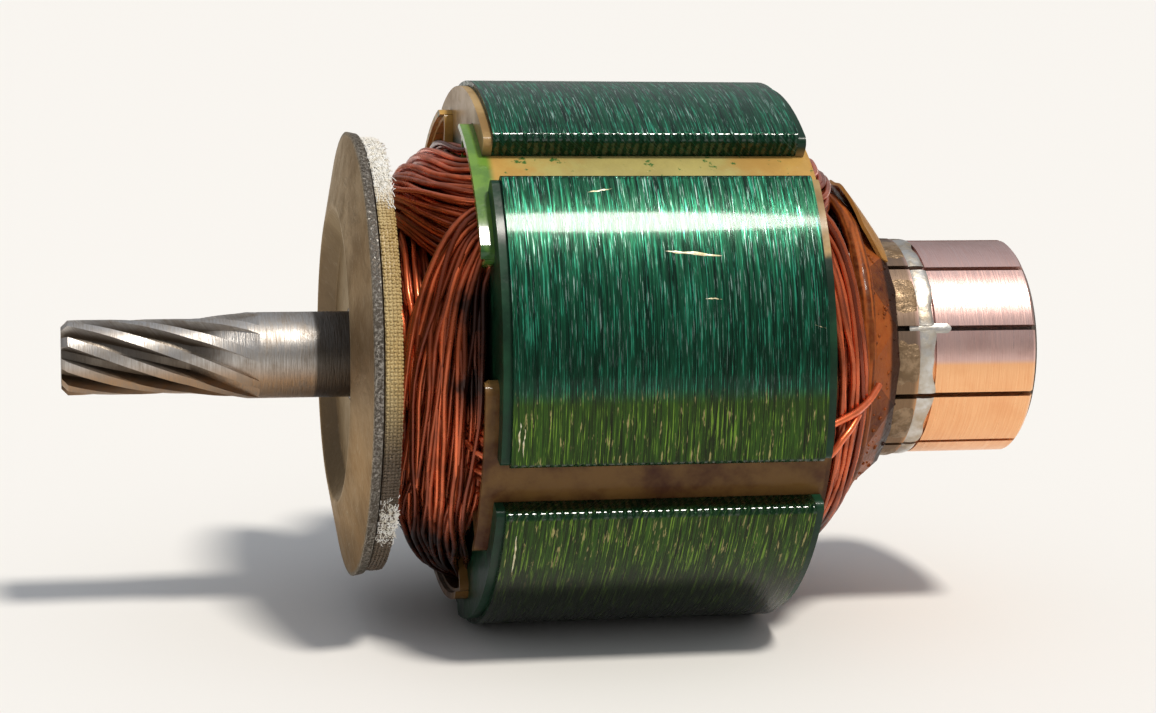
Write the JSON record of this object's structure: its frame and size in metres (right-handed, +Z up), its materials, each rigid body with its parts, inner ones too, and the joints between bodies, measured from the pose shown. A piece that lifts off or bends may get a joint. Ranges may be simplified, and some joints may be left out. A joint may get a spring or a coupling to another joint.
{
  "type": "motor armature",
  "caption": "Wound armature of a brushed motor: slotted lacquered core on a shaft with a helical pinion, enamelled coils, end plate and a copper-bar commutator.",
  "frame": {"origin": "on the shaft's axis, in the middle of the drive-end journal", "axes": "+X along the shaft from the pinion to the commutator, +Z up as the armature lies on two core teeth"},
  "size_m": [0.0909, 0.051, 0.0508],
  "materials": {
    "ground_steel": "ground",
    "green_lacquer": "glossy lacquer",
    "fibre": "varnished",
    "sleeve": "matte",
    "pressed_steel": "pressed",
    "woven_cloth": "coarse weave",
    "resin_wrap": "glossy resin",
    "moulding": "moulded",
    "solder": "tinned",
    "enamelled_wire": "glossy enamel",
    "bar_copper": "turned"
  },
  "bodies": {
    "root": {"shaft": "ground_steel", "lamination_stack": "green_lacquer", "drive_end_lamination": "fibre", "commutator_end_lamination": "fibre", "drive_end_sleeve": "sleeve", "commutator_end_sleeve": "sleeve", "drive_end_plate": "pressed_steel", "woven_washer": "woven_cloth", "lead_wrap": "resin_wrap", "commutator_hub": "moulding", "riser_solder": "solder", "slot_liner_1": "fibre", "slot_liner_2": "fibre", "slot_liner_3": "fibre", "slot_liner_4": "fibre", "slot_liner_5": "fibre", "slot_wedge_1": "fibre", "slot_wedge_2": "fibre", "slot_wedge_3": "fibre", "slot_wedge_4": "fibre", "slot_wedge_5": "fibre", "coil_1": "enamelled_wire", "coil_2": "enamelled_wire", "coil_3": "enamelled_wire", "coil_4": "enamelled_wire", "coil_5": "enamelled_wire", "commutator_bar_01": "bar_copper", "commutator_bar_02": "bar_copper", "commutator_bar_03": "bar_copper", "commutator_bar_04": "bar_copper", "commutator_bar_05": "bar_copper", "commutator_bar_06": "bar_copper", "commutator_bar_07": "bar_copper", "commutator_bar_08": "bar_copper", "commutator_bar_09": "bar_copper", "commutator_bar_10": "bar_copper"}
  },
  "joints": []
}
